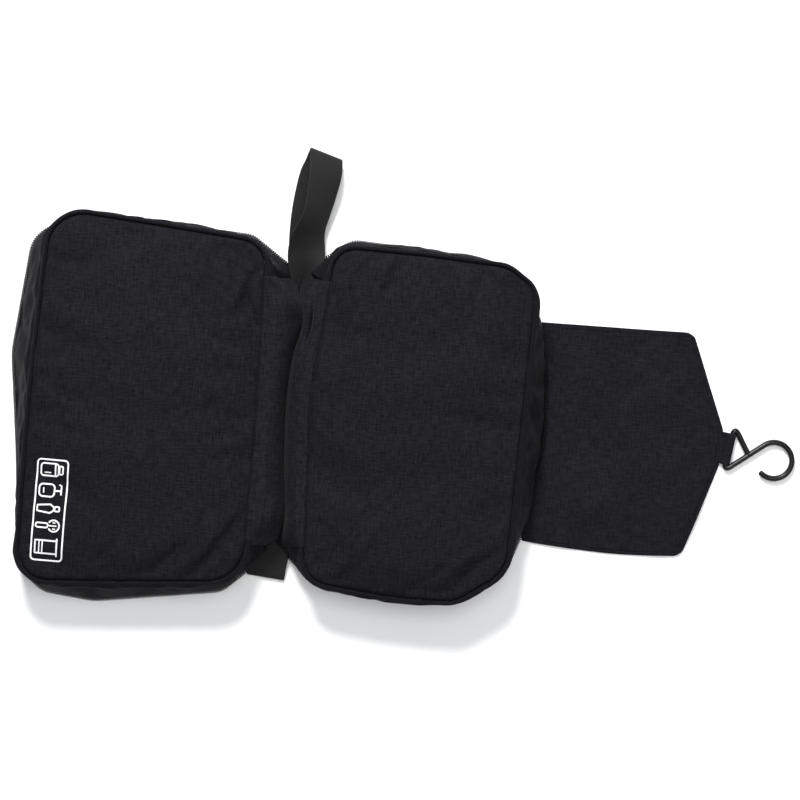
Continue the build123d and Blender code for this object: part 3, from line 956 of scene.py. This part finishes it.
# ---------------------------------------------------------------------------------------------------
# Small zips of the covers
# A straight coil zip on two tapes closes each window; its slider and puller are painted metal.
for half, side in (("lower", -1), ("upper", 1)):
    rise = frame_rise[half] - 1.9
    across = np.array([26.5, 28.0, 30.5, 32.6, 33.4, 33.9, 34.1, 34.6, 35.4, 37.5, 40.0, 41.5])
    along = np.linspace(-96, 96, 97)
    points, lay = [], []
    for x in across:
        bulge = 0.45 * math.exp(-((x - 34) / 2.2) ** 2) - (0.5 if abs(x - 34) < 0.2 else 0)
        for y in along:
            points.append(place(side * x, y, rise - bulge))
            lay.append((x * mm, y * mm))
    quads = grid_quads(len(across), len(along))
    if side > 0:
        quads = [q[::-1] for q in quads]
    tape = cloth_mesh(f"{half}_pocket_zip", points, quads, lay, tape_cloth, f"{half}_half",
                      0.0006, 1)
    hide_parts(f"{half}_pocket_zip")
    path = [place(side * 34, y, rise - 0.75) for y in np.linspace(-95, 95, 40)]
    row_of_bars(f"{half}_pocket_coil", [path], f"{half}_half", coil_black.material, 0.0014,
                0.0034, 0.0005, math.pi / 2)

zip_metal = Finish("zip_metal", Metallic=0.6)
rub = zip_metal.texture("Noise", Scale=260.0, Detail=6.0, Roughness=0.7)
zip_metal.colour(zip_metal.between(zip_metal.ranged(rub, 0.0, 1.0, 0.55, 0.75),
                                   (0.012, 0.012, 0.013), (0.07, 0.07, 0.075)))
zip_metal.rough(zip_metal.ranged(rub, 0.25, 0.5))
for name in ("main_slider", "main_puller", "lower_pocket_slider", "upper_pocket_slider",
             "lower_pocket_puller", "upper_pocket_puller"):
    for held_slot in bpy.data.objects[name].material_slots:
        held_slot.material = zip_metal.material

# ---------------------------------------------------------------------------------------------------
# Hanging flap
# Two layers of the shell cloth sewn together and turned, with one row of stitches near the free edges.
# It comes out from under the upper half's rim and bends there; its point carries the hook's loop.
flap_root, flap_half = 167.0, 77.0
flap_upper, flap_lower = (272.8, 299.0, 11.0), (277.0, 298.2, 13.5)   # corner, tip, half of the tip
flap_cloth = woven("flap_cloth", (0.0026, 0.0025, 0.0031), (0.0128, 0.0124, 0.0156))


def flap_edge(y):
    """Where the flap's free edge lies, in mm from the fold, at each distance from its middle."""
    corner, tip, tip_half = np.where(np.asarray(y)[..., None] > 0, flap_upper, flap_lower).T
    slope = (flap_half - np.abs(y)) / (flap_half - tip_half)
    corner_turn = 4.0 * np.clip(1 - (flap_half - np.abs(y)) / 3.6, 0, 1) ** 2
    return corner + (tip - corner) * np.clip(slope, 0, 1) ** 0.97 - corner_turn


def side_of_flap(x, y):
    """The flap's sides aren't straight: one leans out a little and the other bellies."""
    upper = y + 0.6 * (x - 220) / 50
    lower = y + 3.6 - 5.2 * math.sin(math.pi * min(1.0, max(0.0, (x - 166) / 146))) + 0.02 * (x - 220)
    share = min(1.0, max(0.0, (y / flap_half + 1) / 2))
    return lower + (upper - lower) * share


def flap_layer(inset, height, thick):
    """A grid of the flap: rows from the root to the free edge, drawn in by some mm."""
    side = np.linspace(-1, 1, 91)
    out = np.linspace(0, 1, 66)
    points = []
    for u in out:
        for v in side:
            y = v * (flap_half - inset)
            x = flap_root + (flap_edge(y) - inset - flap_root) * u
            points.append((x, side_of_flap(x, y), 0.0))
    points = np.array(points)
    broad = wander(np.column_stack([points[:, :2], points[:, 0] * 0]), 36.0, 21.0)
    fine = wander(np.column_stack([points[:, :2], points[:, 0] * 0]), 17.0, 4.0)
    free = np.clip((points[:, 0] - 178) / 25, 0, 1) * np.clip((300 - points[:, 0]) / 22, 0, 1)
    edge_gap = np.minimum(flap_edge(points[:, 1]) - points[:, 0], flap_half - np.abs(points[:, 1]))
    turned_edge = -0.55 * np.exp(-(np.clip(edge_gap, 0, 9) / 0.7) ** 2)
    pressed = -0.3 * np.exp(-((edge_gap - 3.0) / 0.8) ** 2)
    sign = 1 if thick > 0.7 else -0.4
    points[:, 2] = height + (4.2 * np.clip(broad + 0.3, 0, 1) + 1.1 * (fine + 0.4)) * free \
        + sign * (turned_edge + pressed)
    return points, grid_quads(len(out), len(side))


flap_points, quads = flap_layer(0.0, 1.55, 0.8)
lay = flap_points[:, 1::-1] * mm
hook_flap = cloth_mesh("hook_flap", [place(*p) for p in flap_points], quads, lay, flap_cloth, None,
                       0.0008, 1)
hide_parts("hook_flap")
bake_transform(hook_flap)
under_points, quads = flap_layer(0.5, 0.75, 0.6)
flap_lining = cloth_mesh("hook_flap_lining", [place(*p) for p in under_points], quads,
                         under_points[:, 1::-1] * mm, lining_cloth, None, 0.0006, 1)
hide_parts("hook_flap_lining")
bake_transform(flap_lining)


def on_flap(x, y, lift=0.0):
    """A point on the flap's upper face."""
    near = int(np.argmin((flap_points[:, 0] - x) ** 2 + (flap_points[:, 1] - y) ** 2))
    return place(x, y, flap_points[near, 2] + lift)


hem = 3.0
hem_path = []
for x in np.linspace(183, flap_upper[0] - hem + 0.6, 50):
    hem_path.append(on_flap(x, side_of_flap(x, flap_half - hem), 0.1))
for y in np.linspace(flap_half - hem - 0.5, -flap_half + hem + 0.5, 140):
    hem_x = float(flap_edge(np.array(y))) - hem * 1.05
    hem_path.append(on_flap(hem_x, side_of_flap(hem_x, y), 0.1))
for x in np.linspace(flap_lower[0] - hem + 0.6, 183, 50):
    hem_path.append(on_flap(x, side_of_flap(x, -flap_half + hem), 0.1))
row_of_bars("flap_stitches", [hem_path], "flap", thread_black.material, stitch_step,
            stitch_length, stitch_radius)

# ---------------------------------------------------------------------------------------------------
# Webbing: the handle, the end tab and the hook's loop
# One ribbed nylon webbing makes the handle and the tab, and the loop is a strip of the flap's cloth.
# Each is a strap laid by its two edges.


def ribbed(name, dark, light):
    strip = Finish(name, Roughness=0.7, Specular_IOR_Level=0.16, Sheen_Weight=0.03)
    lay = strip.node("ShaderNodeUVMap", uv_map="weave").outputs["UV"]
    ribs = strip.waves(lay, "Y", Scale=190.0, Distortion=1.2, Detail=2.0)
    cords = strip.waves(lay, "X", Scale=260.0, Distortion=0.4)
    fuzz = strip.node("ShaderNodeMath", operation="MULTIPLY_ADD")
    fuzz.inputs[1].default_value = 0.6
    strip.link(strip.texture("Noise", lay, Scale=900.0, Detail=3.0), fuzz, 0)
    strip.link(strip.combined("MULTIPLY", ribs, cords), fuzz, 2)
    strip.colour(strip.between(fuzz.outputs[0], dark, light))
    strip.bump(fuzz.outputs[0], 0.35, 0.0002)
    return strip.material


webbing = ribbed("webbing", (0.0050, 0.0050, 0.0054), (0.0125, 0.0125, 0.0132))


def smooth_line(points, step):
    """Even points in mm along a soft curve through the given ones."""
    p = np.array(points, float)
    ends = np.vstack([2 * p[0] - p[1], p, 2 * p[-1] - p[-2]])
    fine = []
    for k in range(1, len(ends) - 2):
        a, b, c, d = ends[k - 1:k + 3]
        for t in np.linspace(0, 1, 14, endpoint=False):
            fine.append(0.5 * (2 * b + (c - a) * t + (2 * a - 5 * b + 4 * c - d) * t ** 2
                               + (3 * b - a - 3 * c + d) * t ** 3))
    fine = np.array(fine + [p[-1]])
    run = np.concatenate([[0], np.cumsum(np.linalg.norm(np.diff(fine, axis=0), axis=1))])
    even = np.linspace(0, run[-1], max(2, int(run[-1] / step)))
    return np.stack([np.interp(even, run, fine[:, i]) for i in range(3)], axis=1)


def strap(name, one_edge, other_edge, thick, body, material, across, root_dip=0.0):
    """A webbing strap between two edges given station by station, in mm."""
    stations = np.hstack([np.array(one_edge, float), np.array(other_edge, float)])
    middle = smooth_line((stations[:, :3] + stations[:, 3:]) / 2, 2.0)
    run = np.linalg.norm(np.diff((stations[:, :3] + stations[:, 3:]) / 2, axis=0), axis=1)
    knots = np.concatenate([[0], np.cumsum(run)]) / run.sum()
    even = np.linspace(0, 1, len(middle))
    half_span = (stations[:, 3:] - stations[:, :3]) / 2
    reach = np.stack([np.interp(even, knots, half_span[:, i]) for i in range(3)], axis=1)
    for _ in range(3):                      # evens out how the width turns
        reach[1:-1] = (reach[:-2] + 2 * reach[1:-1] + reach[2:]) / 4
    share = np.linspace(-1, 1, across)
    points = np.array([middle + reach * s for s in share])
    from_root = np.arange(len(middle)) * 2.0
    points[:, :, 2] -= root_dip * (1 - np.abs(share[:, None]) ** 1.2) * np.exp(-(from_root / 17) ** 2)
    lay = [(s * 0.0125, k * 0.002) for s in share for k in range(len(middle))]
    quads = grid_quads(across, len(middle))
    placed = [place(*p) for p in points.reshape(-1, 3)]
    piece = cloth_mesh(name, placed, quads, lay, material, body, thick * mm, 1)
    piece.modifiers["thickness"].offset = 0
    return piece, float(np.linalg.norm(np.diff(middle, axis=0), axis=1).sum()) * mm


# The handle's front leg runs out from its root and its back leg returns below it.
front_left = [(-4.0, 88.5, 9), (-6.6, 95, 11), (-8.7, 103, 12.5), (-8.9, 111, 15), (-7.4, 119, 20),
              (-3.2, 128, 24.5), (0.6, 138, 26.5), (1.7, 152, 26), (1.6, 165.5, 23), (0.8, 176, 18),
              (0.5, 181.0, 14.5)]
front_right = [(11.0, 87.5, 9), (14.6, 95, 10), (17.0, 104, 10.0), (16.4, 112.5, 8), (15.3, 121, 7),
               (15.4, 128, 7), (17.7, 137.1, 8), (21.0, 149.4, 10.5), (23.6, 162.6, 12), (23.6, 171, 10),
               (23.2, 174.6, 7.5)]
back_left = [(0.3, 180.8, 11.5), (-2.2, 173, 10), (-5.4, 163.6, 11), (-8.2, 141.5, 13), (-8.9, 121, 12),
             (-8.2, 108.7, 9.4), (-7.0, 99, 5.6), (-4.6, 88.5, 3)]
back_right = [(22.8, 174.0, 4.5), (20.0, 168, 3.5), (16.6, 160, 4.2), (12.4, 139.0, 6.0), (12.7, 120, 6.0),
              (13.8, 108, 5.0), (13.4, 98, 3.4), (11.0, 87.5, 2.4)]
handle, handle_run = strap(
    "carry_handle", front_left + back_left, front_right + back_right, 1.2, "handle", webbing, 15, 6.5)
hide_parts("carry_handle")

tab_left = [(-16.5, -88, 5.0), (-17.2, -94, 4.6), (-18.2, -103, 4.0), (-19.1, -111.6, 2.8),
            (-19.1, -113.4, 1.8), (-18.6, -111.4, 0.9), (-17.6, -101, 0.9), (-16.5, -91, 0.9)]
tab_right = [(9.5, -88, 5.0), (9.4, -94, 4.6), (8.2, -104, 4.0), (7.0, -114.0, 2.8), (6.9, -115.8, 1.8),
             (7.2, -113.8, 0.9), (8.0, -102, 0.9), (9.2, -91, 0.9)]
tab, tab_run = strap("end_tab", tab_left, tab_right, 1.1, "spine", webbing, 13)
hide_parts("end_tab")

hook_turn = math.radians(8)
bar_x, bar_z = 303.4, 2.9
along_hook = np.array([math.cos(hook_turn), -math.sin(hook_turn)])
across_hook = np.array([math.sin(hook_turn), math.cos(hook_turn)])


def by_hook(u, v, z):
    """A point in mm from u along the hook and v across it, counted from the middle of its bar."""
    at = np.array([bar_x, 0.0]) + u * along_hook + v * across_hook
    return (at[0], at[1], z)


loop_path = [(-13, 0.8), (-8.4, 0.85), (-5.6, 1.7), (-3.4, 3.7), (-1.6, 5.2), (0.3, 5.7), (2.1, 5.1),
             (2.9, 3.1), (2.2, 1.0), (0.2, 0.45), (-3.5, 0.7), (-8, 0.75), (-12, 0.75)]
loop_left = [by_hook(u, 11.0, z) for u, z in loop_path]
loop_right = [by_hook(u, -11.0, z) for u, z in loop_path]
loop, loop_run = strap("hook_loop", loop_right, loop_left, 0.8, "flap", flap_cloth, 11)
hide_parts("hook_loop")

# ---------------------------------------------------------------------------------------------------
# Hook
# One bent wire with a glossy black coat: a flat eye that the loop holds, closed by a weld on the
# shank, and an open round hook with a rounded tip.
wire = 1.9
ring_middle, ring_radius, ring_sweep = (31.97, -0.65), 12.4, 257.0
ring_first = 135.3


def rounded_line(corners):
    """An open line in mm with its inner corners rounded: (u, v, radius) each."""
    out = [np.array(corners[0][:2], float)]
    for k in range(1, len(corners) - 1):
        p = np.array(corners[k][:2], float)
        before = np.array(corners[k - 1][:2], float) - p
        after = np.array(corners[k + 1][:2], float) - p
        before /= np.linalg.norm(before)
        after /= np.linalg.norm(after)
        half_angle = math.acos(np.clip(before @ after, -1, 1)) / 2
        reach = corners[k][2] / math.tan(half_angle)
        for t in np.linspace(0, 1, 12):
            a, b, c = p + before * reach, p, p + after * reach
            out.append((1 - t) ** 2 * a + 2 * t * (1 - t) * b + t * t * c)
    out.append(np.array(corners[-1][:2], float))
    return out


wire_line = rounded_line([(14.3, -1.0, 0), (0.6, 16.2, 2.4), (0.0, -15.3, 2.4), (23.16, 8.08, 0)])
for turn in np.linspace(0, ring_sweep, 60)[1:]:
    angle = math.radians(ring_first - turn)
    wire_line.append(np.array([ring_middle[0] + ring_radius * math.cos(angle),
                               ring_middle[1] + ring_radius * math.sin(angle)]))
onward = (wire_line[-1] - wire_line[-2]) / np.linalg.norm(wire_line[-1] - wire_line[-2])
wire_line += [wire_line[-1] + onward * 0.9, wire_line[-1] + onward * 1.5]     # the rounded tip
curve = bpy.data.curves.new("hook", "CURVE")
curve.dimensions = "3D"
curve.bevel_depth = wire * mm
curve.bevel_resolution = 5
curve.use_fill_caps = True
spline = curve.splines.new("POLY")
spline.points.add(len(wire_line) - 1)
for k, at in enumerate(wire_line):
    spline.points[k].co = (*place(*by_hook(at[0], at[1], bar_z)), 1)
    spline.points[k].radius = 1.0
spline.points[len(wire_line) - 2].radius = 0.9
spline.points[len(wire_line) - 1].radius = 0.5
bent = new_object("hook_wire", curve)
made = finished_mesh(bent)
bpy.data.objects.remove(bent)
hook_black = Finish("hook_black", Specular_IOR_Level=0.2)
dips = hook_black.texture("Noise", Scale=220.0, Detail=4.0)
hook_black.rough(hook_black.ranged(dips, 0.2, 0.34))
hook_black.colour(hook_black.between(dips, (0.002, 0.002, 0.0024), (0.006, 0.006, 0.007)))
hook_black.bump(dips, 0.12, 0.0002)
made.materials.clear()
made.materials.append(hook_black.material)
made.shade_smooth()
hook_piece = new_object("hook_bent_wire", made)
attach(hook_piece, "hook")
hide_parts("hook")

# ---------------------------------------------------------------------------------------------------
# Printed pictograms
# A white screen print near one corner of the lower face: plain line drawings of things kept in such
# a bag, in a rounded frame. It is a thin film of ink that follows the cloth.
print_white = Finish("print_white", Roughness=0.7)
grain = print_white.texture("Noise", Scale=1500.0, Detail=3.0)
print_white.colour(print_white.between(grain, (0.62, 0.62, 0.62), (0.86, 0.86, 0.86)))
print_white.bump(grain, 0.3, 0.0001)

ink = 1.05              # mm, width of a line
print_points, print_quads = [], []


def box_line(x0, y0, x1, y1, radius):
    path = rounded([(x0, y0, radius), (x1, y0, radius), (x1, y1, radius), (x0, y1, radius)], 0.7)
    return np.vstack([path, path[:1]])


def arc_line(cx, cy, radius, first, last):
    turn = np.radians(np.linspace(first, last, 14))
    return np.column_stack([cx + radius * np.cos(turn), cy + radius * np.sin(turn)])


def draw(path, width=ink):
    """One drawn line, laid as a ribbon; it is dropped onto the cloth afterwards."""
    path = np.array(path, float)
    closed = np.allclose(path[0], path[-1])
    fine = [path[0]]
    for a, b in zip(path[:-1], path[1:]):
        steps = max(1, int(np.linalg.norm(b - a) / 1.2))
        fine += [a + (b - a) * (k + 1) / steps for k in range(steps)]
    fine = np.array(fine)
    if closed:
        run = np.roll(fine[:-1], -1, 0) - np.roll(fine[:-1], 1, 0)
        run = np.vstack([run, run[:1]])
    else:
        run = np.gradient(fine, axis=0)
    run /= np.linalg.norm(run, axis=1)[:, None] + 1e-9
    side = np.column_stack([-run[:, 1], run[:, 0]]) * width / 2
    first = len(print_points)
    for p, s in zip(fine, side):
        print_points.extend([p + s, p - s])
    for k in range(len(fine) - 1):
        a = first + 2 * k
        print_quads.append((a, a + 1, a + 3, a + 2))


draw(box_line(-163.0, -112.5, -141.8, -44.6, 2.4))
draw(box_line(-160.4, -55.6, -148.2, -47.2, 2.0))               # jar with a screw lid
draw([(-150.4, -55.2), (-150.4, -47.6)])
draw(box_line(-147.6, -54.2, -145.2, -48.6, 0.8))
draw([(-158.0, -53.4), (-153.4, -53.4)], 0.8)
draw(box_line(-160.6, -69.6, -150.2, -61.2, 2.4))               # bottle with a pump
draw([(-149.8, -65.4), (-145.6, -65.4)])
draw([(-145.6, -68.0), (-145.6, -62.0), (-147.2, -61.2)])
draw([(-157.6, -67.2), (-157.6, -63.6)], 0.8)
draw([(-160.8, -75.6), (-152.0, -74.6), (-149.4, -76.4), (-149.4, -78.6), (-152.0, -80.4), (-160.8, -79.4),
      (-160.8, -75.6)])                                          # tube with a cap
draw(box_line(-148.8, -79.0, -145.6, -76.0, 0.6))
draw(box_line(-161.0, -90.4, -152.6, -87.4, 1.2))               # round brush
draw(arc_line(-148.6, -88.9, 3.9, -150, 150))
draw([(-152.0, -88.9), (-146.6, -88.9)], 0.8)
draw([(-149.4, -91.0), (-147.4, -91.0)], 0.8)
draw([(-149.4, -86.8), (-147.4, -86.8)], 0.8)
draw([(-145.6, -97.2), (-145.6, -109.6)])                       # towel over a rail
draw([(-145.6, -99.0), (-160.4, -99.0), (-160.4, -107.8), (-145.6, -107.8)])
draw([(-157.6, -99.2), (-157.6, -107.6)], 0.8)
draw([(-155.4, -99.2), (-155.4, -107.6)], 0.8)

face_tree = BVHTree.FromObject(lower_face, bpy.context.evaluated_depsgraph_get())
dropped = []
for x, y in print_points:
    at = place(x, y, 80)
    hit, _, _, _ = face_tree.ray_cast(Vector(at), Vector((0, 0, -1)))
    dropped.append((at[0], at[1], (hit.z if hit else at[2]) + 0.00012))
data = bpy.data.meshes.new("icon_print")
data.from_pydata(dropped, [], print_quads)
data.materials.append(print_white.material)
icon_print = new_object("icon_print_lines", data)
film = icon_print.modifiers.new("film", "SOLIDIFY")
film.thickness = 0.00008
film.offset = 1
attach(icon_print, "lower_half")
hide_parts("icon_print")
